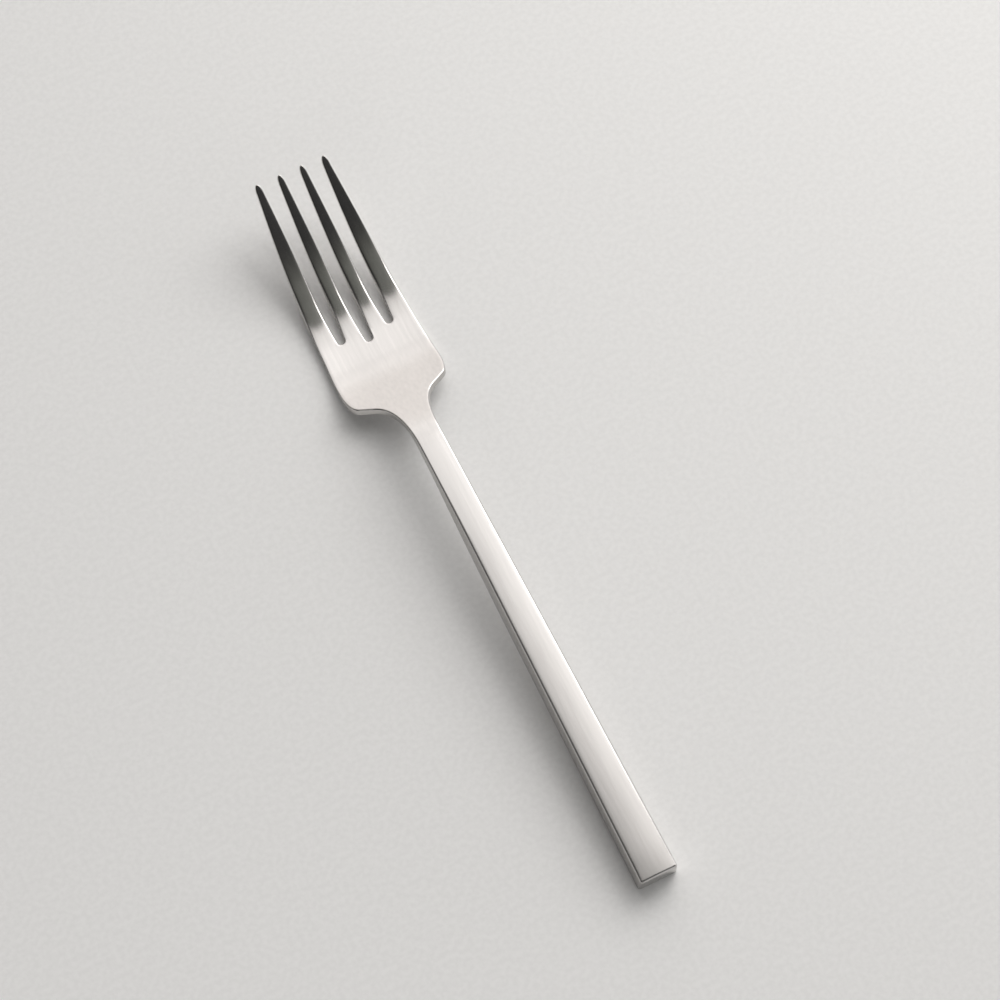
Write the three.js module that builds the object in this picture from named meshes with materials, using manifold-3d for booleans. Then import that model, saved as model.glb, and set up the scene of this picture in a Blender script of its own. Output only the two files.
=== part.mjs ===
// Salad fork in satin stainless steel with a hollow handle, lying on its back as on a table.
// Millimetres, +Z up. The tines point to +Y and curve upwards, and the handle's end is at -Y.
import * as THREE from 'three';
import { mergeVertices } from 'three/addons/utils/BufferGeometryUtils.js';
import Module from 'manifold-3d';

const wasm = await Module();
wasm.setup();

// Lengths measured from the handle's end
const FORK_LENGTH = 178;
const HANDLE_LENGTH = 84;
const TAPER_LENGTH = 104;
const FULL_THICKNESS_LENGTH = 60;
const CREST_LENGTH = 106;

// Lengths measured back from the tine tips
const TINE_LENGTH = 38.4;
const MIDDLE_SLOT_EXTRA = 2;
const REST_FROM_TIPS = 42.1;
const REST_LENGTH = 3;
const WIDEST_FROM_TIPS = 50.6;
const SHOULDER_FROM_TIPS = 56.3;
const THINNED_FROM_TIPS = 64.6;
const NECK_END_FROM_TIPS = 71.1;

// Widths, those of the handle and neck across the upper face, and how far their sides lean out below it
const HANDLE_END_WIDTH = 8.65;
const NECK_WIDTH = 5.95;
const SIDE_FLARE = 0.28;
const HEAD_WIDTH = 23.9;
const INNER_TINE_WIDTH = 3.35;
const OUTER_TINE_WIDTH = 4.25;
const SLOT_WIDTH = 2.5;
const SLOT_ROOT_WIDTH = 1.8;
const SLOT_OPENING_LENGTH = 9;
const TINE_TIP_WIDTH = 1.25;
const TINE_TIP_LENGTH = 2.2;
const TINE_TIP_PITCH = 5.35;
const TINE_TAPER_POWER = 1.9;

// Shoulder outline: a straight edge between the neck's hollow curve and the round corner
const NECK_CURVE_REACH = 11;
const SHOULDER_INNER_X = 7.2;
const SHOULDER_INNER_BACK = 1.55;
const CORNER_RUN = 1.85;
const CORNER_RISE = 0.95;

// Thicknesses
const HANDLE_THICKNESS = 5.9;
const NECK_THICKNESS = 3.7;
const PALM_THICKNESS = 1.7;
const TINE_TIP_THICKNESS = 1.3;

// Side view: the slopes at the handle's end and at the tips, how late the handle levels out and how early
// the tines bend up, and the shallow dish across the head
const HANDLE_ANGLE = THREE.MathUtils.degToRad(3.5);
const TIP_ANGLE = THREE.MathUtils.degToRad(25.2);
const ARCH_POWER = 5;
const TINE_BEND_POWER = 2;
const DISH_DEPTH = 0.1;
const DISH_FLAT_WIDTH = 10;

// Edges and the crown of the handle's upper face
const HANDLE_EDGE_RADIUS = 0.6;
const NECK_EDGE_RADIUS = 0.35;
const END_EDGE_RADIUS = 0.52;
const HANDLE_CROWN = 0.16;

// Inside the handle
const SHELL_WALL = 0.8;
const END_WALL = 1.2;
const CAVITY_EDGE_RADIUS = 0.3;
const FILLER_CLEARANCE = 0.25;
const TANG_LENGTH = 42;
const TANG_WIDTH = 2.6;
const TANG_TIP_WIDTH = 2;
const TANG_THICKNESS = 1.3;
const TANG_EDGE_RADIUS = 0.2;

// How finely the curves are cut into flat facets
const EDGE_STEPS = 3;
const CROWN_STEPS = 4;
const CURVE_STEPS = 8;
const TINE_STEPS = 9;
const DISH_COLUMNS = 3;
const HANDLE_STEPS = 9;
const NECK_STEPS = 10;
const HEAD_STATION_PITCH = 2.4;

// Overlap that a cutter or a joined piece has past the face it works on
const OVERLAP = 2;

// Places worked out from the sizes above, as distances from the handle's end
const endStation = (HANDLE_THICKNESS / 2 - END_EDGE_RADIUS) * Math.sin(HANDLE_ANGLE);
const neckEnd = FORK_LENGTH - NECK_END_FROM_TIPS;
const thinned = FORK_LENGTH - THINNED_FROM_TIPS;
const shoulder = FORK_LENGTH - SHOULDER_FROM_TIPS;
const widest = FORK_LENGTH - WIDEST_FROM_TIPS;
const restStart = FORK_LENGTH - REST_FROM_TIPS - REST_LENGTH / 2;
const restEnd = restStart + REST_LENGTH;
const slotHalf = SLOT_WIDTH / 2;
const rootRadius = SLOT_ROOT_WIDTH / 2;
const tineRoot = FORK_LENGTH - TINE_LENGTH + rootRadius;
const middleRoot = tineRoot - MIDDLE_SLOT_EXTRA;
const tipStart = FORK_LENGTH - TINE_TIP_LENGTH;

// Smooth step from 0 at a to 1 at b
function ease(y, a, b) {
  return THREE.MathUtils.smoothstep(y, a, b);
}

function mix(from, to, share) {
  return THREE.MathUtils.lerp(from, to, share);
}

// Height of the upper face: an arched handle, a fall to the palm and tines that bend up
function upperHeight(y) {
  const slope = Math.tan(HANDLE_ANGLE);
  const fullSection = endStation + END_EDGE_RADIUS;
  const start = HANDLE_THICKNESS / 2 * (1 + Math.cos(HANDLE_ANGLE)) - fullSection * slope;
  const arch = slope * CREST_LENGTH / (ARCH_POWER + 1);
  if (y <= CREST_LENGTH) {
    return start + y * slope - arch * (y / CREST_LENGTH) ** (ARCH_POWER + 1);
  }
  const crestHeight = start + CREST_LENGTH * slope - arch;
  const rise = FORK_LENGTH - restEnd;
  const s = Math.max(y - restEnd, 0) / rise;
  const toGo = Math.max(1 - s, 0) ** (TINE_BEND_POWER + 1);
  const bend = Math.tan(TIP_ANGLE) * rise * (s - (1 - toGo) / (TINE_BEND_POWER + 1));
  return mix(crestHeight, PALM_THICKNESS, ease(y, CREST_LENGTH, restStart)) + bend;
}

function midHeight(y) {
  return upperHeight(y) - thickness(y) / 2;
}

// Angle of the middle line against the table
function midAngle(y) {
  const step = 0.01;
  return Math.atan2(midHeight(y + step) - midHeight(y - step), 2 * step);
}

function thickness(y) {
  const neck = mix(HANDLE_THICKNESS, NECK_THICKNESS, ease(y, FULL_THICKNESS_LENGTH, TAPER_LENGTH));
  const palm = mix(neck, PALM_THICKNESS, ease(y, TAPER_LENGTH, thinned));
  const tip = THREE.MathUtils.clamp((y - restEnd) / (FORK_LENGTH - restEnd), 0, 1);
  return mix(palm, TINE_TIP_THICKNESS, tip);
}

function barWidth(y) {
  return mix(HANDLE_END_WIDTH, NECK_WIDTH, THREE.MathUtils.clamp(y / TAPER_LENGTH, 0, 1));
}

function edgeRadius(y) {
  return mix(HANDLE_EDGE_RADIUS, NECK_EDGE_RADIUS, ease(y, HANDLE_LENGTH, neckEnd));
}

function crown(y) {
  return mix(HANDLE_CROWN, 0, ease(y, HANDLE_LENGTH, neckEnd));
}

function sideFlare(y) {
  return mix(SIDE_FLARE, 0, ease(y, HANDLE_LENGTH, neckEnd));
}

// Rise of the dished head at a distance x from its middle, level across the flat middle strip
function dish(x, y) {
  const share = Math.max(Math.abs(x) - DISH_FLAT_WIDTH / 2, 0) / ((HEAD_WIDTH - DISH_FLAT_WIDTH) / 2);
  return DISH_DEPTH * share * share * ease(y, neckEnd, widest);
}

// Point of a cross-section: x across, v square to the middle line at station y
function place(x, v, y) {
  const angle = midAngle(y);
  return [x, y - v * Math.sin(angle), midHeight(y) + v * Math.cos(angle)];
}

// Closed solid through a row of cross-sections, each drawn anticlockwise seen from the handle's end
function loft(stations) {
  const count = stations[0].section.length;
  const positions = [];
  for (const { y, section } of stations) {
    for (const [x, v] of section) {
      positions.push(...place(x, v, y));
    }
  }
  const index = [];
  for (let ring = 0; ring < stations.length - 1; ring += 1) {
    for (let corner = 0; corner < count; corner += 1) {
      const a = ring * count + corner;
      const b = ring * count + (corner + 1) % count;
      index.push(a, a + count, b, b, a + count, b + count);
    }
  }
  const last = (stations.length - 1) * count;
  for (const [a, b, c] of capTriangles(stations[0].section)) {
    index.push(a, b, c);
  }
  for (const [a, b, c] of capTriangles(stations.at(-1).section)) {
    index.push(last + c, last + b, last + a);
  }
  return solid(new Float32Array(positions), new Uint32Array(index));
}

function capTriangles(section) {
  return THREE.ShapeUtils.triangulateShape(section.map(([x, v]) => new THREE.Vector2(x, v)), []);
}

function solid(vertProperties, triVerts) {
  return new wasm.Manifold(new wasm.Mesh({ numProp: 3, vertProperties, triVerts }));
}

function solidFromGeometry(geometry) {
  geometry.deleteAttribute('normal');
  geometry.deleteAttribute('uv');
  const merged = mergeVertices(geometry);
  return solid(new Float32Array(merged.attributes.position.array), new Uint32Array(merged.index.array));
}

// Rounded bar section with a crowned upper face and sides that lean out below it, inset by a margin
function barSection(width, height, radius, rise, flare, inset = 0) {
  const half = width / 2 - inset;
  const foot = half + flare;
  const top = height / 2 - inset;
  const round = Math.min(radius, half, top);
  const points = [];
  const corner = (x, v, from) => {
    for (let k = 0; k <= EDGE_STEPS; k += 1) {
      const turn = from + k / EDGE_STEPS * Math.PI / 2;
      points.push([x + round * Math.cos(turn), v + round * Math.sin(turn)]);
    }
  };
  corner(round - foot, round - top, Math.PI);
  corner(foot - round, round - top, Math.PI * 1.5);
  corner(half - round, top - rise - round, 0);
  for (let k = 1; k < CROWN_STEPS; k += 1) {
    const across = 1 - 2 * k / CROWN_STEPS;
    points.push([across * (half - round), top - rise * across * across]);
  }
  corner(round - half, top - rise - round, Math.PI / 2);
  return points;
}

// Section of the handle and neck at a station
function barAt(y, radius, inset = 0) {
  return barSection(barWidth(y), thickness(y), radius, crown(y), sideFlare(y), inset);
}

function rectangleSection(half, low, high) {
  return [[-half, low], [half, low], [half, high], [-half, high]];
}

// Even stations from a to b, both included
function stationsBetween(a, b, steps) {
  return Array.from({ length: steps + 1 }, (_, k) => mix(a, b, k / steps));
}

// Outer form of the handle, with its edges rounded over at the flat end
function handleBar() {
  const stations = [];
  for (let k = 0; k < EDGE_STEPS; k += 1) {
    const turn = (1 - k / EDGE_STEPS) * Math.PI / 2;
    const y = endStation + END_EDGE_RADIUS * (1 - Math.sin(turn));
    const inset = END_EDGE_RADIUS * (1 - Math.cos(turn));
    const radius = Math.max(HANDLE_EDGE_RADIUS - inset, CAVITY_EDGE_RADIUS / 2);
    stations.push({ y, section: barAt(y, radius, inset) });
  }
  for (const y of stationsBetween(endStation + END_EDGE_RADIUS, HANDLE_LENGTH, HANDLE_STEPS)) {
    stations.push({ y, section: barAt(y, edgeRadius(y)) });
  }
  return loft(stations);
}

// Room inside the handle, smaller all round by a clearance and running to a given station
function handleRoom(clearance, mouth) {
  const inset = SHELL_WALL + clearance;
  const ys = stationsBetween(endStation + END_WALL + clearance, mouth, HANDLE_STEPS);
  return loft(ys.map((y) => ({ y, section: barAt(y, CAVITY_EDGE_RADIUS, inset) })));
}

// Tapered tang behind the neck, larger all round by a clearance
function tang(clearance) {
  const ends = [
    [HANDLE_LENGTH - TANG_LENGTH - clearance, TANG_TIP_WIDTH],
    [HANDLE_LENGTH + OVERLAP, TANG_WIDTH],
  ];
  return loft(ends.map(([y, width]) => ({
    y,
    section: barSection(width, TANG_THICKNESS, TANG_EDGE_RADIUS, 0, 0, -clearance),
  })));
}

// Neck from the weld to the head, with a nose that sinks into the head
function neckBar() {
  const ys = stationsBetween(HANDLE_LENGTH, neckEnd, NECK_STEPS);
  const stations = ys.map((y) => ({ y, section: barAt(y, edgeRadius(y)) }));
  stations.push({ y: neckEnd + OVERLAP, section: barAt(neckEnd, NECK_EDGE_RADIUS, NECK_EDGE_RADIUS) });
  return loft(stations);
}

// Middle and half width of a tine in plan, from its root to its tip
function tineMiddle(tine, y) {
  return mix(tine.rootX, tine.tipX, (y - tineRoot) / (FORK_LENGTH - tineRoot));
}

function tineHalfWidth(tine, y) {
  const share = THREE.MathUtils.clamp((y - tineRoot) / (FORK_LENGTH - tineRoot), 0, 1);
  return mix(tine.width, TINE_TIP_WIDTH, share ** TINE_TAPER_POWER) / 2;
}

// The free outer edge of an outer tine
function tineFreeEdge(tine) {
  return stationsBetween(tineRoot, tipStart, TINE_STEPS).map(
    (y) => new THREE.Vector2(tineMiddle(tine, y) + tineHalfWidth(tine, y), y),
  );
}

// How far a slot's side stands in from its full width, given where the slot's root is
function slotNarrowing(y, root) {
  const toGo = 1 - THREE.MathUtils.clamp((y - root) / SLOT_OPENING_LENGTH, 0, 1);
  return (slotHalf - rootRadius) * toGo * toGo;
}

// One edge of a tine, side +1 away from the fork's middle and -1 towards it, beside a slot with a given root
function tineEdge(tine, side, root) {
  return stationsBetween(tineRoot, tipStart, TINE_STEPS).map((y) => {
    const half = tineHalfWidth(tine, y) + slotNarrowing(y, root);
    return new THREE.Vector2(tineMiddle(tine, y) + side * half, y);
  });
}

// Long rounded end joining a tine's two edges
function tineTip(tine) {
  const points = [];
  for (let k = 1; k < CURVE_STEPS; k += 1) {
    const turn = k / CURVE_STEPS * Math.PI;
    const x = tineMiddle(tine, tipStart) + tineHalfWidth(tine, tipStart) * Math.cos(turn);
    points.push(new THREE.Vector2(x, tipStart + TINE_TIP_LENGTH * Math.sin(turn)));
  }
  return points;
}

// Round root of a slot, run from its outer edge to its inner one
function slotRoot(middle, y) {
  const points = [];
  for (let k = 1; k < CURVE_STEPS; k += 1) {
    const turn = k / CURVE_STEPS * Math.PI;
    points.push(new THREE.Vector2(middle + rootRadius * Math.cos(turn), y - rootRadius * Math.sin(turn)));
  }
  return points;
}

// Right half of the head's plan, from the neck round the shoulder and the tines to the middle slot
function headHalfOutline() {
  const inner = {
    width: INNER_TINE_WIDTH,
    rootX: slotHalf + INNER_TINE_WIDTH / 2,
    tipX: TINE_TIP_PITCH / 2,
  };
  const outer = {
    width: OUTER_TINE_WIDTH,
    rootX: slotHalf + INNER_TINE_WIDTH + SLOT_WIDTH + OUTER_TINE_WIDTH / 2,
    tipX: TINE_TIP_PITCH * 1.5,
  };
  const neckX = NECK_WIDTH / 2;
  const headX = HEAD_WIDTH / 2;
  const innerY = shoulder - SHOULDER_INNER_BACK;
  const sideRun = (tineRoot - widest) / 3;
  const rootEdge = tineFreeEdge(outer);
  const lean = (rootEdge[1].x - rootEdge[0].x) / (rootEdge[1].y - rootEdge[0].y);

  const path = new THREE.Path();
  path.moveTo(neckX, neckEnd - OVERLAP * 2);
  path.lineTo(neckX, neckEnd);
  path.quadraticCurveTo(neckX, neckEnd + NECK_CURVE_REACH, SHOULDER_INNER_X, innerY);
  path.lineTo(headX - CORNER_RUN, shoulder);
  path.quadraticCurveTo(headX, shoulder + CORNER_RISE, headX, widest);
  path.bezierCurveTo(
    headX, widest + sideRun,
    rootEdge[0].x - lean * sideRun, tineRoot - sideRun,
    rootEdge[0].x, tineRoot,
  );
  const middleArc = slotRoot(0, middleRoot).slice(0, CURVE_STEPS / 2);
  return [
    ...path.getPoints(CURVE_STEPS),
    ...rootEdge.slice(1),
    ...tineTip(outer),
    ...tineEdge(outer, -1, tineRoot).reverse(),
    ...slotRoot(SLOT_WIDTH + INNER_TINE_WIDTH, tineRoot),
    ...tineEdge(inner, 1, tineRoot),
    ...tineTip(inner),
    ...tineEdge(inner, -1, middleRoot).reverse(),
    new THREE.Vector2(rootRadius, middleRoot),
    ...middleArc,
  ];
}

// Flat blank of the head, standing taller than the bent sheet that trims it
function headBlank() {
  const right = headHalfOutline();
  const left = right.slice(0, -1).reverse().map(({ x, y }) => new THREE.Vector2(-x, y));
  const depth = upperHeight(FORK_LENGTH) * 2;
  const geometry = new THREE.ExtrudeGeometry(new THREE.Shape([...right, ...left]), {
    depth,
    bevelEnabled: false,
  });
  geometry.translate(0, 0, -depth / 4);
  return solidFromGeometry(geometry);
}

// Bent and dished sheet, in the side view's curve and thickness
function headSheet() {
  const half = HEAD_WIDTH / 2 + OVERLAP;
  const columns = [
    ...stationsBetween(-half, -DISH_FLAT_WIDTH / 2, DISH_COLUMNS),
    ...stationsBetween(DISH_FLAT_WIDTH / 2, half, DISH_COLUMNS),
  ];
  const section = (y) => [
    ...columns.map((x) => [x, dish(x, y) - thickness(y) / 2]),
    ...columns.toReversed().map((x) => [x, dish(x, y) + thickness(y) / 2]),
  ];
  const runs = [[neckEnd, restStart], [restStart, restEnd], [restEnd, FORK_LENGTH + OVERLAP]];
  const ys = [neckEnd];
  for (const [from, to] of runs) {
    ys.push(...stationsBetween(from, to, Math.ceil((to - from) / HEAD_STATION_PITCH)).slice(1));
  }
  return loft(ys.map((y) => ({ y, section: section(y) })));
}

// Half space above or below the handle's weld seam, as a long box
function seamSide(low, high) {
  const section = rectangleSection(HANDLE_END_WIDTH, low, high);
  return loft([endStation - OVERLAP, HANDLE_LENGTH + OVERLAP].map((y) => ({ y, section })));
}

function steel(color) {
  return new THREE.MeshStandardMaterial({ color, roughness: 0.3, metalness: 1 });
}

function addPiece(group, name, body, material) {
  const { vertProperties, triVerts } = body.getMesh();
  const geometry = new THREE.BufferGeometry();
  geometry.setAttribute('position', new THREE.BufferAttribute(vertProperties, 3));
  geometry.setIndex(new THREE.BufferAttribute(triVerts, 1));
  geometry.computeVertexNormals();
  const mesh = new THREE.Mesh(geometry, material);
  mesh.name = name;
  group.add(mesh);
}

const satinSteel = steel(0xd6d2cc);
const paleCement = new THREE.MeshStandardMaterial({ color: 0xb9b2a2, roughness: 0.95, metalness: 0 });

const head = headBlank().intersect(headSheet()).add(neckBar()).add(tang(0));
const shell = handleBar().subtract(handleRoom(0, HANDLE_LENGTH + OVERLAP));
const fillerMouth = HANDLE_LENGTH - FILLER_CLEARANCE;
const filler = handleRoom(FILLER_CLEARANCE, fillerMouth).subtract(tang(FILLER_CLEARANCE));

const fork = new THREE.Group();
fork.position.y = -FORK_LENGTH / 2;
addPiece(fork, 'fork_head', head, satinSteel);
addPiece(fork, 'handle_upper_shell', shell.intersect(seamSide(0, HANDLE_THICKNESS)), satinSteel);
addPiece(fork, 'handle_lower_shell', shell.intersect(seamSide(-HANDLE_THICKNESS, 0)), satinSteel);
addPiece(fork, 'handle_filler', filler, paleCement);

export default fork;
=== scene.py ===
from collections import namedtuple
import math

import bmesh
import bpy
import numpy as np
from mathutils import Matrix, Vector


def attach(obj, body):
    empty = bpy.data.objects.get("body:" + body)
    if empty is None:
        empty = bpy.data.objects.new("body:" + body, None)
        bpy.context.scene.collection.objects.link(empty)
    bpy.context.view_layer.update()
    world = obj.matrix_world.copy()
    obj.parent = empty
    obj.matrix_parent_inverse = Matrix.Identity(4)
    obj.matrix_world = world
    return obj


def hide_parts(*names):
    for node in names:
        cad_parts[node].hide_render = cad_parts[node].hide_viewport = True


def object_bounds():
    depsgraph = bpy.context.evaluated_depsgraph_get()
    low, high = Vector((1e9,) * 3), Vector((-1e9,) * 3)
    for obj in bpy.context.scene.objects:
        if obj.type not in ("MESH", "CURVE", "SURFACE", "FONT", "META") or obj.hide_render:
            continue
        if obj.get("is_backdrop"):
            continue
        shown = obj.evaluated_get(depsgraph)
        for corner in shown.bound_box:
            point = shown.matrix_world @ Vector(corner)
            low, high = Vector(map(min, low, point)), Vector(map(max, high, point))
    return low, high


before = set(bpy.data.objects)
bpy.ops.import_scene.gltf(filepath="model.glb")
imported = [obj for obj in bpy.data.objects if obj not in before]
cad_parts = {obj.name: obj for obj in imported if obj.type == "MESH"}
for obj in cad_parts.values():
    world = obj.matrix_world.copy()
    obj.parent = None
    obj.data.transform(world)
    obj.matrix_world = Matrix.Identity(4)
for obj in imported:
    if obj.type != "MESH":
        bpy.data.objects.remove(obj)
cad_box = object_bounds()

# Sizes of the fork are in millimetres, and lengths run from the handle's end along it.
MM = 0.001
FORK_LENGTH = (cad_box[1].y - cad_box[0].y) / MM
HEAD_WIDTH = (cad_box[1].x - cad_box[0].x) / MM

HANDLE_LENGTH = 84.0
TAPER_LENGTH = 104.0
FULL_THICKNESS_LENGTH = 60.0
CREST = 106.0
NECK_END = FORK_LENGTH - 71.1
THINNED = FORK_LENGTH - 64.6
SHOULDER = FORK_LENGTH - 56.3
WIDEST = FORK_LENGTH - 50.6
REST_START = FORK_LENGTH - 43.6
REST_END = FORK_LENGTH - 40.6
SLOT_HALF = 1.25
SLOT_ROOT_RADIUS = 0.9
SLOT_OPENING = 9.0
TINE_ROOT = FORK_LENGTH - 38.4 + SLOT_ROOT_RADIUS
MIDDLE_ROOT = TINE_ROOT - 2.0

# Widths and the shoulder's outline
HANDLE_END_WIDTH = 8.65
NECK_WIDTH = 5.95
SIDE_FLARE = 0.28
INNER_TINE_WIDTH = 3.35
OUTER_TINE_WIDTH = 4.25
TINE_TIP_WIDTH = 1.25
TINE_TIP_LENGTH = 2.2
TINE_TIP_PITCH = 5.35
TINE_TAPER_POWER = 1.9
NECK_CURVE_REACH = 11.0
SHOULDER_INNER_X = 7.2
SHOULDER_INNER_BACK = 1.55
CORNER_RUN = 1.85
CORNER_RISE = 0.95
END_CORNER_RADIUS = 0.6

# Thicknesses and the side view
HANDLE_THICKNESS = 5.9
NECK_THICKNESS = 3.7
PALM_THICKNESS = 1.7
TINE_TIP_THICKNESS = 1.3
HANDLE_ANGLE = math.radians(3.5)
TIP_ANGLE = math.radians(25.2)
ARCH_POWER = 5
TINE_BEND_POWER = 2
DISH_DEPTH = 0.1
DISH_FLAT_WIDTH = 10.0
PROFILE_BLEND = 2.5
PROFILE_STEP = 0.05
PROFILE_OVERRUN = 10.0

# Kept free inside the solids' box
BOX_MARGIN = 0.005

# Edges and crowns: the rounded edges' radii, how much further they reach over the tines' faces, and how far
# before the tips the tines' edges and crowns start to shrink
HANDLE_EDGE_RADIUS = 0.6
NECK_EDGE_RADIUS = 0.35
HEAD_EDGE_RADIUS = 0.25
TINE_EDGE_RADIUS = 0.5
TINE_EDGE_STRETCH = 1.2
TIP_EDGE_RADIUS = 0.18
SLIM_LENGTH = 28.0
END_EDGE_RADIUS = 0.52
END_EDGE_BLEND = 4.0
HANDLE_CROWN = 0.2
NECK_CROWN = 0.045
END_FALL = 0.03
END_FALL_LENGTH = 8.0
TINE_CROWN = 0.09
TIP_CROWN_LOSS = 0.85

# Inside the handle
SHELL_WALL = 0.8
END_WALL = 1.2
CAVITY_EDGE_RADIUS = 0.3
CAVITY_CORNER_RADIUS = 0.4
TANG_LENGTH = 42.0
TANG_WIDTH = 2.6
TANG_TIP_WIDTH = 2.0
TANG_THICKNESS = 1.3
TANG_SQUARENESS = 8.0

# How finely the surfaces are divided
FILLET_STEPS = 5
CURVE_PITCH = 0.45
EDGE_PITCH = 0.9
ARC_STEPS = 14
CROSS_STEPS = 12
TINE_CROSS_STEPS = 6
TANG_STEPS = 8

# Camera: its tilt from straight down, the fork's turn in the picture, and its distance and aim in metres
CAMERA_TILT = math.radians(22.0)
CAMERA_TURN = math.radians(26.6)
CAMERA_DISTANCE = 0.7813
CAMERA_AIM = Vector((0.00892, 0.00256, 0.0))
SENSOR_WIDTH = 36.0
LENS = 129.6

# Shading
SHARP_ANGLE = math.radians(40.0)
BRUSHING_MAP = "brushing"
EDGE_MAP_SLANT = 0.37
STEEL_DARK = (0.525, 0.509, 0.495)
STEEL_LIGHT = (0.585, 0.567, 0.552)
STEEL_RAMP = (0.3, 0.95)
STEEL_ROUGHNESS = 0.16
STEEL_ROUGHNESS_SPREAD = 0.03
STEEL_ANISOTROPY = 0.9

# Noises of the brushing, in periods per metre across, along and through the fork, and its depth in metres
FINE_NOISE = (9000.0, 110.0, 9000.0)
STREAK_NOISE = (1600.0, 24.0, 1600.0)
CLOUD_NOISE = (140.0, 60.0, 140.0)
CLOUD_SHARE = 0.35
BRUSHING_STRENGTH = 0.12
BRUSHING_DEPTH = 0.00002

# Resin and floor, with mottles in periods per metre, and the floor's size and gap in metres
MOTTLE_RAMP = (0.35, 0.65)
RESIN_COLOURS = [(0.46, 0.43, 0.37), (0.55, 0.52, 0.46)]
RESIN_MOTTLE = 600.0
RESIN_ROUGHNESS = 0.8
FLOOR_COLOURS = [(0.86, 0.855, 0.847), (0.9, 0.895, 0.887)]
FLOOR_MOTTLE = 900.0
FLOOR_ROUGHNESS = 0.9
FLOOR_SIZE = 4.0
FLOOR_GAP = 0.00005

# Room light: its pale half starts some degrees past overhead, towards the tips. The first ramp's angles are
# degrees into that half, and those of the other two are degrees towards the fork's right.
LIGHT_EDGE_LEAN = 5.0
WORLD_STRENGTH = 1.65
WORLD_RAMP = [
    (-70.0, (0.38, 0.38, 0.38)),
    (-48.0, (0.3, 0.3, 0.3)),
    (-40.0, (0.055, 0.055, 0.055)),
    (-28.0, (0.028, 0.028, 0.028)),
    (-24.0, (0.028, 0.028, 0.028)),
    (-20.0, (0.064, 0.065, 0.06)),
    (-16.0, (0.12, 0.123, 0.113)),
    (-1.2, (0.13, 0.133, 0.123)),
    (0.8, (0.53, 0.52, 0.511)),
    (1.6, (0.62, 0.608, 0.598)),
    (2.5, (0.69, 0.677, 0.667)),
    (4.8, (0.77, 0.757, 0.746)),
    (7.0, (0.8, 0.786, 0.776)),
    (12.6, (0.88, 0.866, 0.857)),
    (16.0, (0.89, 0.875, 0.867)),
    (20.0, (0.85, 0.835, 0.826)),
    (28.0, (0.845, 0.828, 0.818)),
    (38.0, (0.89, 0.871, 0.859)),
    (46.0, (0.91, 0.889, 0.874)),
    (52.0, (0.865, 0.84, 0.823)),
    (60.0, (0.82, 0.791, 0.771)),
    (75.0, (0.8, 0.771, 0.752)),
]
SIDE_RAMP = [
    (-75.0, 0.25),
    (-60.0, 0.1),
    (-40.0, 0.04),
    (-20.0, 0.18),
    (-10.0, 0.4),
    (-1.0, 0.7),
    (9.0, 1.0),
    (14.0, 1.18),
    (18.0, 1.38),
    (26.0, 1.4),
    (40.0, 0.45),
    (70.0, 0.15),
]
RIGHT_RAMP = [(22.0, 0.0), (40.0, 0.12), (52.0, 0.35), (64.0, 0.8), (85.0, 0.75)]

# Lamps: sizes in metres, places in metres right, away and up in the picture, and powers in watts
KEY_SIZE = 0.44
KEY_PLACE = (0.312, 0.4555, 0.431)
KEY_POWER = 2.0
FILL_SIZE = 0.3
FILL_PLACE = (-0.25, -0.75, 0.4)
FILL_POWER = 0.55
LAMP_COLOUR = (1.0, 0.985, 0.96)


def mix(a, b, share):
    return a + (b - a) * share


def ease(y, a, b):
    """Smooth step from 0 at a to 1 at b."""
    s = np.clip((y - a) / (b - a), 0.0, 1.0)
    return s * s * (3.0 - 2.0 * s)


def raw_thickness(y):
    neck = mix(HANDLE_THICKNESS, NECK_THICKNESS, ease(y, FULL_THICKNESS_LENGTH, TAPER_LENGTH))
    palm = mix(neck, PALM_THICKNESS, ease(y, TAPER_LENGTH, THINNED))
    tip = np.clip((y - REST_END) / (FORK_LENGTH - REST_END), 0.0, 1.0)
    return mix(palm, TINE_TIP_THICKNESS, tip)


def raw_upper_line(y):
    """Height of the upper face in side view: arched handle, drop to the palm, tines bending up."""
    slope = math.tan(HANDLE_ANGLE)
    full_section = END_EDGE_RADIUS + HANDLE_THICKNESS / 2 * math.sin(HANDLE_ANGLE)
    start = HANDLE_THICKNESS / 2 * (1.0 + math.cos(HANDLE_ANGLE)) - full_section * slope + BOX_MARGIN
    levelling = slope * CREST / (ARCH_POWER + 1)
    arch = start + slope * y - levelling * (y / CREST) ** (ARCH_POWER + 1)
    crest_height = start + slope * CREST - levelling
    fall = mix(crest_height, PALM_THICKNESS, ease(y, CREST, REST_START))
    run = FORK_LENGTH - REST_END
    s = np.maximum((y - REST_END) / run, 0.0)
    left = (1.0 - np.minimum(s, 1.0)) ** (TINE_BEND_POWER + 1.0)
    bend = math.tan(TIP_ANGLE) * run * (s - (1.0 - left) / (TINE_BEND_POWER + 1.0))
    return np.where(y < CREST, arch, fall + bend)


# The side view as a fine table, with its changes of curvature blended
profile_y = np.arange(-PROFILE_OVERRUN, FORK_LENGTH + PROFILE_OVERRUN, PROFILE_STEP)
window = np.hanning(2 * round(PROFILE_BLEND / PROFILE_STEP) + 1)
window /= window.sum()
margin = len(window) // 2
profile_thickness = np.convolve(raw_thickness(profile_y), window, "valid")
profile_upper = np.convolve(raw_upper_line(profile_y), window, "valid")
profile_y = profile_y[margin:-margin]
profile_mid = profile_upper - profile_thickness / 2
profile_angle = np.arctan(np.gradient(profile_mid, PROFILE_STEP))


def thickness(y):
    return np.interp(y, profile_y, profile_thickness)


def bar_half_width(y):
    return mix(HANDLE_END_WIDTH, NECK_WIDTH, np.clip(y / TAPER_LENGTH, 0.0, 1.0)) / 2


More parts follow.
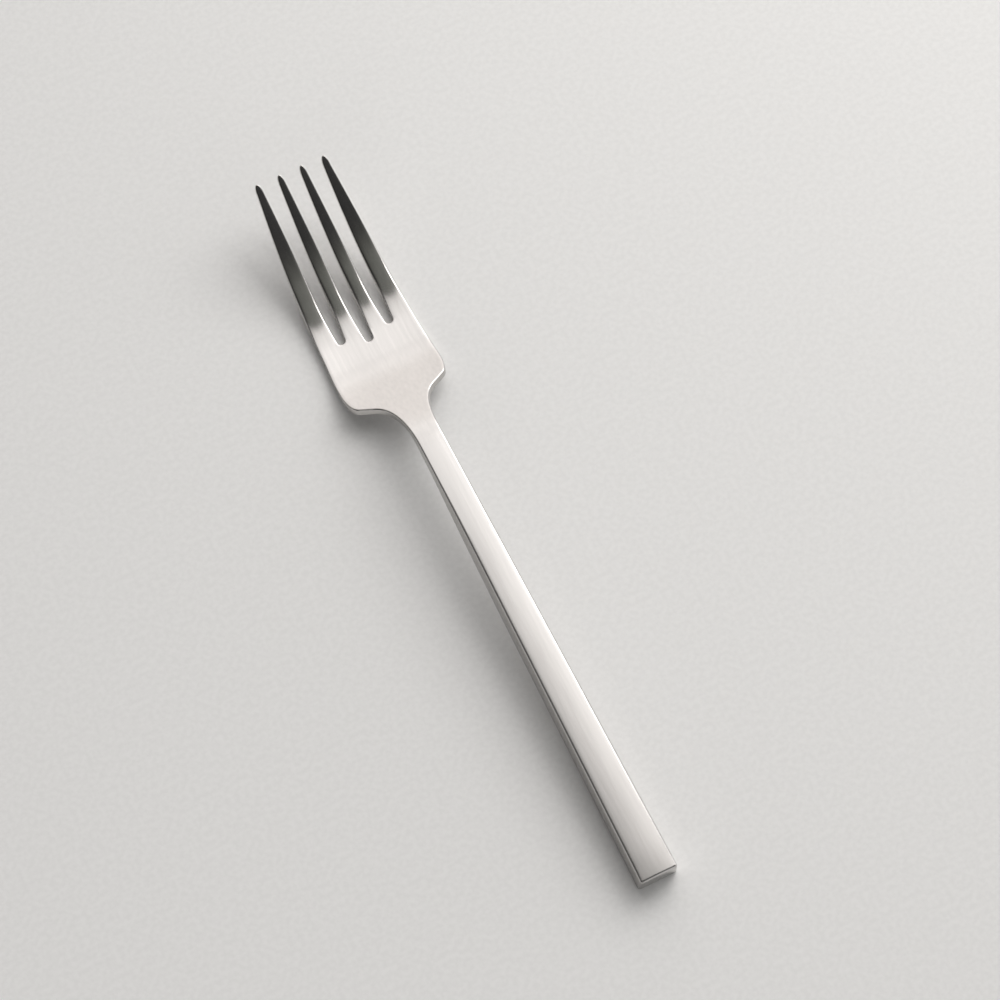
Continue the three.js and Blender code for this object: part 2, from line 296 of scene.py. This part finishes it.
def slimming(y):
    """How far the tines' edges and crowns have shrunk to those of the tips, from 0 to 1."""
    return ease(y, FORK_LENGTH - SLIM_LENGTH, FORK_LENGTH - SLIM_LENGTH / 2)


def edge_radius(y):
    handle = mix(END_EDGE_RADIUS, HANDLE_EDGE_RADIUS, ease(y, 0.0, END_EDGE_BLEND))
    neck = mix(handle, NECK_EDGE_RADIUS, ease(y, HANDLE_LENGTH, NECK_END))
    palm = mix(neck, HEAD_EDGE_RADIUS, ease(y, NECK_END, WIDEST))
    tine = mix(palm, TINE_EDGE_RADIUS, ease(y, TINE_ROOT, TINE_ROOT + SLOT_OPENING))
    return mix(tine, TIP_EDGE_RADIUS, slimming(y))


def edge_reach(y):
    """How far a rounded edge reaches over the face, further than its radius on the tines."""
    grown = ease(y, TINE_ROOT, TINE_ROOT + SLOT_OPENING) * (1.0 - slimming(y))
    return edge_radius(y) * mix(1.0, TINE_EDGE_STRETCH, grown)


def side_flare(y):
    """How far the handle's and the neck's sides lean out from the upper face to the lower one."""
    return mix(SIDE_FLARE, 0.0, ease(y, HANDLE_LENGTH, NECK_END))


def place(x, v, y):
    """Points in the frame, in metres: x across, v square to the middle line at station y."""
    angle = np.interp(y, profile_y, profile_angle)
    mid = np.interp(y, profile_y, profile_mid)
    away = y - v * np.sin(angle) - FORK_LENGTH / 2
    return np.stack([x, away, mid + v * np.cos(angle)], axis=-1) * MM


def dish(x, y):
    reach = (HEAD_WIDTH - DISH_FLAT_WIDTH) / 2
    share = np.maximum(np.abs(x) - DISH_FLAT_WIDTH / 2, 0.0) / reach
    return DISH_DEPTH * share * share * ease(y, NECK_END, WIDEST)


def crown(x, y):
    """Fall of the handle's and the neck's crowned upper face, from its middle and at the handle's end."""
    rise = mix(HANDLE_CROWN, NECK_CROWN, np.clip(y / TAPER_LENGTH, 0.0, 1.0))
    share = x / (bar_half_width(y) - edge_radius(y))
    end_share = np.clip(1.0 - y / END_FALL_LENGTH, 0.0, 1.0)
    return rise * share**2 * (1.0 - ease(y, TAPER_LENGTH, THINNED)) + END_FALL * end_share**2


# The right half's two tines in plan, by their width and their middle at the root and the tip
Tine = namedtuple("Tine", "width root_x tip_x")
inner_root_x = SLOT_HALF + INNER_TINE_WIDTH / 2
outer_root_x = SLOT_HALF * 3 + INNER_TINE_WIDTH + OUTER_TINE_WIDTH / 2
INNER_TINE = Tine(INNER_TINE_WIDTH, inner_root_x, TINE_TIP_PITCH / 2)
OUTER_TINE = Tine(OUTER_TINE_WIDTH, outer_root_x, TINE_TIP_PITCH * 1.5)


def tip_station():
    """Station of the tips at mid-thickness, so that their lowest edge ends at the fork's length."""
    lean = math.sin(float(np.interp(FORK_LENGTH, profile_y, profile_angle)))
    radius = TIP_EDGE_RADIUS
    half = TINE_TIP_THICKNESS / 2 - radius
    return FORK_LENGTH - half * lean - radius * (math.hypot(1.0, lean) - 1.0) - BOX_MARGIN


TIP_STATION = tip_station()


def tine_middle(tine, y):
    return mix(tine.root_x, tine.tip_x, (y - TINE_ROOT) / (FORK_LENGTH - TINE_ROOT))


def tine_half_width(tine, y):
    share = np.clip((y - TINE_ROOT) / (FORK_LENGTH - TINE_ROOT), 0.0, 1.0)
    return mix(tine.width, TINE_TIP_WIDTH, share**TINE_TAPER_POWER) / 2


def tine_crown(x, y):
    """Slight fall of each tine's upper face towards its edges."""
    inner, outer = [
        (np.abs(x) - tine_middle(tine, y)) / tine_half_width(tine, y) for tine in (INNER_TINE, OUTER_TINE)
    ]
    nearest = np.minimum(inner**2, outer**2)
    grown = ease(y, TINE_ROOT, TINE_ROOT + SLOT_OPENING)
    return TINE_CROWN * nearest * grown * (1.0 - TIP_CROWN_LOSS * slimming(y))


def upper_face(x, y):
    return thickness(y) / 2 + dish(x, y) - crown(x, y) - tine_crown(x, y)


def lower_face(x, y):
    return dish(x, y) - thickness(y) / 2


def span(a, b, pitch):
    """Even steps from a to b, both included, no longer than the pitch."""
    return np.linspace(a, b, max(2, math.ceil(abs(b - a) / pitch) + 1))


def bezier(points):
    """Points along a Bezier curve of any degree, without its first point."""
    control = np.array(points, float)
    length = np.linalg.norm(np.diff(control, axis=0), axis=1).sum()
    t = span(0.0, 1.0, CURVE_PITCH / length)[1:, None]
    degree = len(control) - 1
    return sum(
        math.comb(degree, k) * t**k * (1.0 - t) ** (degree - k) * control[k] for k in range(degree + 1)
    )


def arc(centre, half_x, half_y, start, end):
    """Points along an elliptical arc, without its two ends."""
    turn = np.radians(np.linspace(start, end, ARC_STEPS + 1)[1:-1])
    return np.stack([centre[0] + half_x * np.cos(turn), centre[1] + half_y * np.sin(turn)], axis=-1)


def slot_narrowing(y, root):
    """How far a slot's side stands in from its full width, none where there is no slot root."""
    if root is None:
        return np.zeros_like(y)
    to_go = 1.0 - np.clip((y - root) / SLOT_OPENING, 0.0, 1.0)
    return (SLOT_HALF - SLOT_ROOT_RADIUS) * to_go**2


def tine_side(tine, side, root):
    y = span(TINE_ROOT, TIP_STATION - TINE_TIP_LENGTH, EDGE_PITCH)
    half = tine_half_width(tine, y) + slot_narrowing(y, root)
    return np.stack([tine_middle(tine, y) + side * half, y], axis=-1)


def tine_outline(tine, outer_slot, inner_slot):
    """A tine from its root on the outer side, round its tip, to the inner side, given its slots' roots."""
    y = TIP_STATION - TINE_TIP_LENGTH
    half = float(tine_half_width(tine, y))
    tip = arc((float(tine_middle(tine, y)), y), half, TINE_TIP_LENGTH, 0.0, 180.0)
    return np.concatenate([tine_side(tine, 1, outer_slot), tip, tine_side(tine, -1, inner_slot)[::-1]])


def head_runs():
    """Right half of the head's plan in runs, from the weld round the tines to the middle slot's root."""
    head_x = HEAD_WIDTH / 2
    neck_x = NECK_WIDTH / 2
    corner_x = head_x - CORNER_RUN
    inner_y = SHOULDER - SHOULDER_INNER_BACK
    root = tine_side(OUTER_TINE, 1, None)
    lean = (root[1] - root[0]) / (root[1, 1] - root[0, 1])
    run = (TINE_ROOT - WIDEST) / 3
    neck_y = span(HANDLE_LENGTH, NECK_END, EDGE_PITCH)
    slot_middle = INNER_TINE.root_x + INNER_TINE.width / 2 + SLOT_HALF
    neck = np.concatenate([
        np.stack([bar_half_width(neck_y), neck_y], axis=-1),
        bezier([(neck_x, NECK_END), (neck_x, NECK_END + NECK_CURVE_REACH), (SHOULDER_INNER_X, inner_y)]),
        bezier([(SHOULDER_INNER_X, inner_y), (corner_x, SHOULDER)]),
        bezier([(corner_x, SHOULDER), (head_x, SHOULDER + CORNER_RISE), (head_x, WIDEST)]),
    ])
    flank = bezier([(head_x, WIDEST), (head_x, WIDEST + run), root[0] - lean * run, root[0]])[:-1]
    slot = arc((slot_middle, TINE_ROOT), SLOT_ROOT_RADIUS, SLOT_ROOT_RADIUS, 0.0, -180.0)
    middle_arc = arc((0.0, MIDDLE_ROOT), SLOT_ROOT_RADIUS, SLOT_ROOT_RADIUS, 0.0, -180.0)[: ARC_STEPS // 2]
    middle_slot = np.concatenate([[(SLOT_ROOT_RADIUS, MIDDLE_ROOT)], middle_arc])
    outer_tine = tine_outline(OUTER_TINE, None, TINE_ROOT)
    inner_tine = tine_outline(INNER_TINE, TINE_ROOT, MIDDLE_ROOT)
    return [neck, flank, outer_tine, slot, inner_tine, middle_slot]


def head_outline():
    """Plan of the head from the weld on the right, round the tines, to the weld on the left."""
    right = np.concatenate(head_runs())
    left = right[:-1][::-1] * (-1.0, 1.0)
    return np.concatenate([right, left])


def handle_outline(wall, end_wall, corner):
    """Plan of the handle from the weld on the left, round the end, to the weld on the right."""
    lean = math.sin(HANDLE_ANGLE)
    radius = END_EDGE_RADIUS
    flat_end = (HANDLE_THICKNESS / 2 - radius) * lean + radius * (math.hypot(1.0, lean) - 1.0)
    end = flat_end + end_wall + BOX_MARGIN
    half_end = float(bar_half_width(end)) - wall
    side_y = np.linspace(HANDLE_LENGTH, end + corner, round(HANDLE_LENGTH / EDGE_PITCH))
    left = np.concatenate([
        np.stack([wall - bar_half_width(side_y), side_y], axis=-1),
        arc((corner - half_end, end + corner), corner, corner, 180.0, 270.0),
    ])
    across = np.linspace(corner - half_end, half_end - corner, CROSS_STEPS + 1)
    right = left[::-1] * (-1.0, 1.0)
    return np.concatenate([left, np.stack([across, np.full_like(across, end)], axis=-1), right])


def inward(outline):
    """Unit vectors square to an open outline, pointing to its inside on the left."""
    step = np.diff(outline, axis=0)
    step /= np.linalg.norm(step, axis=1)[:, None]
    along = np.concatenate([step[:1], step[:-1] + step[1:], step[-1:]])
    along /= np.linalg.norm(along, axis=1)[:, None]
    square = np.stack([-along[:, 1], along[:, 0]], axis=-1)
    for end in (0, -1):
        square[end] = (np.sign(square[end, 0]), 0.0)
    return square


class Builder:
    """Vertices, faces and the brushing map of one closed mesh."""

    def __init__(self):
        self.vertices = []
        self.map = []
        self.faces = []
        self.count = 0

    def add(self, points, brush):
        """Adds points with their brushing map, and returns their numbers."""
        self.vertices.extend(points.tolist())
        self.map.extend(brush.tolist())
        first = self.count
        self.count += len(points)
        return list(range(first, self.count))

    def strip(self, row_a, row_b):
        """Quads between two rows of vertex numbers."""
        for k in range(len(row_a) - 1):
            self.faces.append((row_a[k], row_a[k + 1], row_b[k + 1], row_b[k]))

    def strips(self, rows):
        """Quads between each row and the next."""
        for row_a, row_b in zip(rows, rows[1:]):
            self.strip(row_a, row_b)

    def piece(self, name, material):
        """The finished object, with its faces turned outwards and its rounded edges shaded smooth."""
        mesh = bpy.data.meshes.new(name)
        mesh.from_pydata(self.vertices, [], self.faces)
        work = bmesh.new()
        work.from_mesh(mesh)
        bmesh.ops.recalc_face_normals(work, faces=work.faces)
        work.to_mesh(mesh)
        work.free()
        corners = np.empty(len(mesh.loops), np.int32)
        mesh.loops.foreach_get("vertex_index", corners)
        layer = mesh.uv_layers.new(name=BRUSHING_MAP)
        layer.data.foreach_set("uv", np.array(self.map, np.float32)[corners].ravel())
        mesh.shade_smooth()
        mesh.set_sharp_from_angle(angle=SHARP_ANGLE)
        mesh.materials.append(material)
        made = bpy.data.objects.new(name, mesh)
        bpy.context.scene.collection.objects.link(made)
        return made


def brushing(x, y, depth):
    """Map whose first value runs across the brushing, over the face and down the edges."""
    return np.stack([x + np.sign(x) * depth, y + depth * EDGE_MAP_SLANT], axis=-1)


class Face:
    """A flat side of a piece, inside the row of points round its edge."""

    def __init__(self, builder, edge, numbers, height):
        self.builder = builder
        self.edge = edge
        self.numbers = numbers
        self.height = height

    def add(self, points):
        x, y = points.T
        return self.builder.add(place(x, self.height(x, y), y), brushing(x, y, 0.0))

    def row(self, start, end, points):
        """Row of vertex numbers from one edge point to another, over the points between them."""
        return [self.numbers[start], *self.add(points), self.numbers[end]]

    def straight(self, start, end, shares):
        """Straight row between two edge points, as its points and its vertex numbers."""
        a, b = self.edge[start], self.edge[end]
        points = a + (b - a) * shares[:, None]
        return points, self.row(start, end, points[1:-1])


def fill_handle(face):
    """Rows across the handle, from the weld to its end. Returns the row at the weld."""
    last = len(face.edge) - 1
    corner = (last - CROSS_STEPS) // 2
    shares = np.linspace(0.0, 1.0, CROSS_STEPS + 1)
    rows = [face.straight(k, last - k, shares)[1] for k in range(corner)]
    rows.append(face.numbers[corner:last - corner + 1])
    face.builder.strips(rows)
    return rows[0]


def fill_tine(face, first, last):
    """Rows across a tine, closed at its tip. Returns its root row, as points and vertex numbers."""
    shares = np.linspace(0.0, 1.0, TINE_CROSS_STEPS + 1)
    tip = (first + last) // 2
    rows = [face.straight(first + k, last - k, shares) for k in range(tip - first)]
    face.builder.strips([numbers for _, numbers in rows])
    end = rows[-1][1]
    for a, b in zip(end, end[1:]):
        face.builder.faces.append((a, b, face.numbers[tip]))
    return rows[0]


def fill_head(face):
    """Rows across the neck, the palm and the four tines. Returns the row at the weld."""
    ends = np.cumsum([len(run) for run in head_runs()])
    mirror = len(face.edge) - 1
    outer = (ends[1], ends[2] - 1)
    inner = (ends[3], ends[4] - 1)
    tines = [outer, inner] + [(mirror - last, mirror - first) for first, last in (inner, outer)]

    # The line through the tine roots and the slots, from the right edge to the left one
    points, numbers = fill_tine(face, *tines[0])
    for before, tine in zip(tines, tines[1:]):
        gap = slice(before[1] + 1, tine[0])
        root_points, root_numbers = fill_tine(face, *tine)
        points = np.concatenate([points, face.edge[gap], root_points])
        numbers = numbers + face.numbers[gap] + root_numbers
    steps = np.linalg.norm(np.diff(points, axis=0), axis=1)
    shares = np.concatenate([[0.0], np.cumsum(steps)]) / steps.sum()

    widest = ends[0] - 1
    palm = [face.straight(k, mirror - k, shares) for k in range(widest + 1)]
    rows = [row for _, row in palm]
    start = palm[-1][0]
    for k in range(widest + 1, outer[0]):
        share = (k - widest) / (outer[0] - widest)
        rows.append(face.row(k, mirror - k, mix(start, points, share)[1:-1]))
    rows.append(numbers)
    face.builder.strips(rows)
    return rows[0]


def leaned(points, square, depth):
    """Edge points moved out with the leaning sides, at a depth from 0 at the upper face to 1 at the lower."""
    lean = side_flare(points[:, 1]) * depth * square[:, 0]
    return points - np.stack([lean, np.zeros_like(lean)], axis=-1)


def half_skin(builder, outline, radius, reach, height, side, fill, wall=None):
    """One side of a skin: flat face, rounded edge and wall down to mid-thickness.

    Radius and reach give the rounded edge's depth and its width over the face at a station. Side is 1 for the
    upper face and -1 for the lower one. Returns the wall's middle row and the section at the weld, as vertex
    numbers.
    """
    square = inward(outline)
    r = radius(outline[:, 1])
    wide = reach(outline[:, 1])
    rows = []
    for turn in np.linspace(math.pi / 2, 0.0, FILLET_STEPS + 1):
        p = leaned(outline + square * (wide * (1.0 - math.cos(turn)))[:, None], square, (1 - side) / 2)
        x, y = p.T
        v = height(x, y) - side * r * (1.0 - math.sin(turn))
        rows.append(builder.add(place(x, v, y), brushing(x, y, r * (math.pi / 2 - turn))))
    edge = leaned(outline + square * wide[:, None], square, (1 - side) / 2)
    weld = fill(Face(builder, edge, rows[0], height))
    if wall is None:
        x, y = leaned(outline, square, 0.5).T
        wall = builder.add(place(x, dish(x, y), y), brushing(x, y, thickness(y) / 2))
    rows.append(wall)
    builder.strips(rows)
    if weld[0] != rows[0][-1]:
        weld = weld[::-1]
    return wall, [row[-1] for row in rows[:0:-1]] + weld + [row[0] for row in rows[1:]]


def cavity_radius(y):
    return np.full_like(y, CAVITY_EDGE_RADIUS)


def handle_shell(name, side, height, material):
    """One pressed half of the hollow handle: outer skin, inner skin, seam faces and mouth."""
    builder = Builder()
    outer = handle_outline(0.0, 0.0, END_CORNER_RADIUS)
    inner = handle_outline(SHELL_WALL, END_WALL, CAVITY_CORNER_RADIUS)

    def inner_height(x, y):
        return height(x, y) - side * SHELL_WALL

    outer_seam, outer_mouth = half_skin(builder, outer, edge_radius, edge_reach, height, side, fill_handle)
    inner_seam, inner_mouth = half_skin(
        builder, inner, cavity_radius, cavity_radius, inner_height, side, fill_handle
    )
    builder.strip(outer_seam, inner_seam)
    builder.strip(outer_mouth, inner_mouth)
    return builder.piece(name, material)


def tang_section(angles, width):
    """Section of the tang, a rectangle with eased corners, with one point in each direction given."""
    across = np.abs(np.cos(angles)) * 2 / width
    up = np.abs(np.sin(angles)) * 2 / TANG_THICKNESS
    reach = (across**TANG_SQUARENESS + up**TANG_SQUARENESS) ** (-1 / TANG_SQUARENESS)
    return reach * np.cos(angles), reach * np.sin(angles)


def fork_head(name, material):
    """Tines, palm, neck and tang in one closed mesh."""
    builder = Builder()
    outline = head_outline()
    wall, upper = half_skin(builder, outline, edge_radius, edge_reach, upper_face, 1, fill_head)
    _, lower = half_skin(builder, outline, edge_radius, edge_reach, lower_face, -1, fill_head, wall)
    loop = upper + lower[::-1][1:]

    # The tang grows out of the neck's section, with a point for each point of that section.
    corner = np.array([builder.vertices[k] for k in loop]) / MM
    height = corner[:, 2] - np.interp(HANDLE_LENGTH, profile_y, profile_mid)
    angles = np.arctan2(height, corner[:, 0])[:-1]
    for share in np.linspace(0.0, 1.0, TANG_STEPS + 1):
        x, v = tang_section(angles, mix(TANG_WIDTH, TANG_TIP_WIDTH, share))
        y = np.full_like(x, HANDLE_LENGTH - TANG_LENGTH * share)
        ring = builder.add(place(x, v, y), brushing(x, y, 0.0))
        ring.append(ring[0])
        builder.strip(loop, ring)
        loop = ring
    builder.faces.append(tuple(loop[:-1]))
    return builder.piece(name, material)


def connect(owner, links):
    """Joins sockets of a material's or world's nodes, given as (node, output, node, input)."""
    for source, output, target, entry in links:
        owner.node_tree.links.new(source.outputs[output], target.inputs[entry])


def set_stops(ramp, positions, colours):
    """Stops of a colour ramp, from low to high."""
    elements = ramp.color_ramp.elements
    while len(elements) < len(positions):
        elements.new(0.5)
    for element, position, colour in zip(elements, positions, colours):
        element.position = position
        element.color = (*colour, 1.0)


def stretched_noise(nodes, scale, detail):
    """Noise with a scale for each axis, in periods per metre. Returns its mapping and itself."""
    mapping = nodes.new("ShaderNodeMapping")
    mapping.inputs["Scale"].default_value = scale
    noise = nodes.new("ShaderNodeTexNoise")
    noise.inputs["Scale"].default_value = 1.0
    noise.inputs["Detail"].default_value = detail
    return mapping, noise


def satin_steel():
    """Stainless steel brushed finely along the fork."""
    material = bpy.data.materials.new("satin_steel")
    material.use_nodes = True
    nodes = material.node_tree.nodes
    shader = nodes["Principled BSDF"]
    shader.inputs["Metallic"].default_value = 1.0
    shader.inputs["Anisotropic"].default_value = STEEL_ANISOTROPY
    coords = nodes.new("ShaderNodeTexCoord")
    tangent = nodes.new("ShaderNodeTangent")
    tangent.direction_type = "UV_MAP"
    tangent.uv_map = BRUSHING_MAP
    fine_map, fine = stretched_noise(nodes, FINE_NOISE, 2.0)
    streak_map, streak = stretched_noise(nodes, STREAK_NOISE, 3.0)
    cloud_map, cloud = stretched_noise(nodes, CLOUD_NOISE, 2.0)
    blend = nodes.new("ShaderNodeMath")
    blend.operation = "MULTIPLY_ADD"
    blend.inputs[1].default_value = CLOUD_SHARE
    ramp = nodes.new("ShaderNodeValToRGB")
    set_stops(ramp, STEEL_RAMP, (STEEL_DARK, STEEL_LIGHT))
    rough = nodes.new("ShaderNodeMapRange")
    rough.inputs["To Min"].default_value = STEEL_ROUGHNESS - STEEL_ROUGHNESS_SPREAD
    rough.inputs["To Max"].default_value = STEEL_ROUGHNESS + STEEL_ROUGHNESS_SPREAD
    bump = nodes.new("ShaderNodeBump")
    bump.inputs["Strength"].default_value = BRUSHING_STRENGTH
    bump.inputs["Distance"].default_value = BRUSHING_DEPTH
    connect(material, [
        (coords, "Object", fine_map, "Vector"),
        (coords, "Object", streak_map, "Vector"),
        (coords, "Object", cloud_map, "Vector"),
        (fine_map, "Vector", fine, "Vector"),
        (streak_map, "Vector", streak, "Vector"),
        (cloud_map, "Vector", cloud, "Vector"),
        (cloud, "Fac", blend, 0),
        (streak, "Fac", blend, 2),
        (blend, "Value", ramp, "Fac"),
        (ramp, "Color", shader, "Base Color"),
        (streak, "Fac", rough, "Value"),
        (rough, "Result", shader, "Roughness"),
        (fine, "Fac", bump, "Height"),
        (bump, "Normal", shader, "Normal"),
        (tangent, "Tangent", shader, "Tangent"),
    ])
    return material


def speckled(name, colours, mottle, roughness):
    """Matt material with a fine mottle between two colours, in periods per metre."""
    material = bpy.data.materials.new(name)
    material.use_nodes = True
    nodes = material.node_tree.nodes
    shader = nodes["Principled BSDF"]
    shader.inputs["Roughness"].default_value = roughness
    coords = nodes.new("ShaderNodeTexCoord")
    noise = nodes.new("ShaderNodeTexNoise")
    noise.inputs["Scale"].default_value = mottle
    ramp = nodes.new("ShaderNodeValToRGB")
    set_stops(ramp, MOTTLE_RAMP, colours)
    connect(material, [
        (coords, "Object", noise, "Vector"),
        (noise, "Fac", ramp, "Fac"),
        (ramp, "Color", shader, "Base Color"),
    ])
    return material


def in_picture(right, far, up):
    """Direction in the frame of a vector given as right, away and up in the picture."""
    c, s = math.cos(CAMERA_TURN), math.sin(CAMERA_TURN)
    return Vector((right * c + far * s, far * c - right * s, up))


def sky_ramp(nodes, direction, stops):
    """Dot product with a direction and a ramp over it, its stops given as degrees towards it and colours."""
    toward = nodes.new("ShaderNodeVectorMath")
    toward.operation = "DOT_PRODUCT"
    toward.inputs[1].default_value = direction
    share = nodes.new("ShaderNodeMapRange")
    share.inputs["From Min"].default_value = -1.0
    ramp = nodes.new("ShaderNodeValToRGB")
    positions = [(math.sin(math.radians(angle)) + 1.0) / 2 for angle, _ in stops]
    set_stops(ramp, positions, [colour for _, colour in stops])
    return toward, share, ramp


def studio_world():
    """Wide pale light over the far half of the room and low along its right side, and a dim near half."""
    world = bpy.data.worlds.new("studio")
    bpy.context.scene.world = world
    world.use_nodes = True
    nodes = world.node_tree.nodes
    background = nodes["Background"]
    background.inputs["Strength"].default_value = WORLD_STRENGTH
    coords = nodes.new("ShaderNodeTexCoord")
    lean = math.radians(LIGHT_EDGE_LEAN)
    away = (0.0, math.cos(lean), -math.sin(lean))
    right = (1.0, 0.0, 0.0)
    side_stops = [(angle, (level,) * 3) for angle, level in SIDE_RAMP]
    right_stops = [(angle, (level,) * 3) for angle, level in RIGHT_RAMP]
    sky = nodes.new("ShaderNodeVectorMath")
    sky.operation = "MULTIPLY_ADD"
    for entry, direction, stops in [(0, away, WORLD_RAMP), (1, right, side_stops), (2, right, right_stops)]:
        toward, share, ramp = sky_ramp(nodes, direction, stops)
        connect(world, [
            (coords, "Generated", toward, 0),
            (toward, "Value", share, "Value"),
            (share, "Result", ramp, "Fac"),
            (ramp, "Color", sky, entry),
        ])
    connect(world, [(sky, "Vector", background, "Color")])


def soft_lamp(name, size, location, power):
    """Square area lamp at a place in the picture, turned to the middle of the fork."""
    lamp = bpy.data.lights.new(name, "AREA")
    lamp.size = size
    lamp.energy = power
    lamp.color = LAMP_COLOUR
    made = bpy.data.objects.new(name, lamp)
    made.location = in_picture(*location)
    made.rotation_euler = (-made.location).to_track_quat("-Z", "Y").to_euler()
    bpy.context.scene.collection.objects.link(made)


def floor_plane():
    mesh = bpy.data.meshes.new("floor")
    half = FLOOR_SIZE / 2
    corners = [(-half, -half), (half, -half), (half, half), (-half, half)]
    mesh.from_pydata([(x, y, -FLOOR_GAP) for x, y in corners], [], [(0, 1, 2, 3)])
    mesh.materials.append(speckled("pale_floor", FLOOR_COLOURS, FLOOR_MOTTLE, FLOOR_ROUGHNESS))
    floor = bpy.data.objects.new("floor", mesh)
    bpy.context.scene.collection.objects.link(floor)
    floor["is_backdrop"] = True


def photo_camera():
    data = bpy.data.cameras.new("camera")
    data.sensor_width = SENSOR_WIDTH
    data.lens = LENS
    camera = bpy.data.objects.new("camera", data)
    back = in_picture(0.0, -math.sin(CAMERA_TILT), math.cos(CAMERA_TILT))
    camera.location = CAMERA_AIM + back * CAMERA_DISTANCE
    camera.rotation_euler = (-back).to_track_quat("-Z", "Y").to_euler()
    bpy.context.scene.collection.objects.link(camera)
    bpy.context.scene.camera = camera


photo_camera()
studio_world()
soft_lamp("key", KEY_SIZE, KEY_PLACE, KEY_POWER)
soft_lamp("fill", FILL_SIZE, FILL_PLACE, FILL_POWER)
floor_plane()

steel = satin_steel()
head = fork_head("head", steel)
upper_shell = handle_shell("handle_upper", 1, upper_face, steel)
lower_shell = handle_shell("handle_lower", -1, lower_face, steel)
for piece, node in [
    (head, "fork_head"),
    (upper_shell, "handle_upper_shell"),
    (lower_shell, "handle_lower_shell"),
]:
    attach(piece, "root")
    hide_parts(node)

resin = speckled("handle_resin", RESIN_COLOURS, RESIN_MOTTLE, RESIN_ROUGHNESS)
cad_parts["handle_filler"].material_slots[0].material = resin

bpy.context.scene.view_settings.view_transform = "Standard"

boxes = {"cad": cad_box, "visual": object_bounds()}
{name: [list(corner) for corner in box] for name, box in boxes.items()}
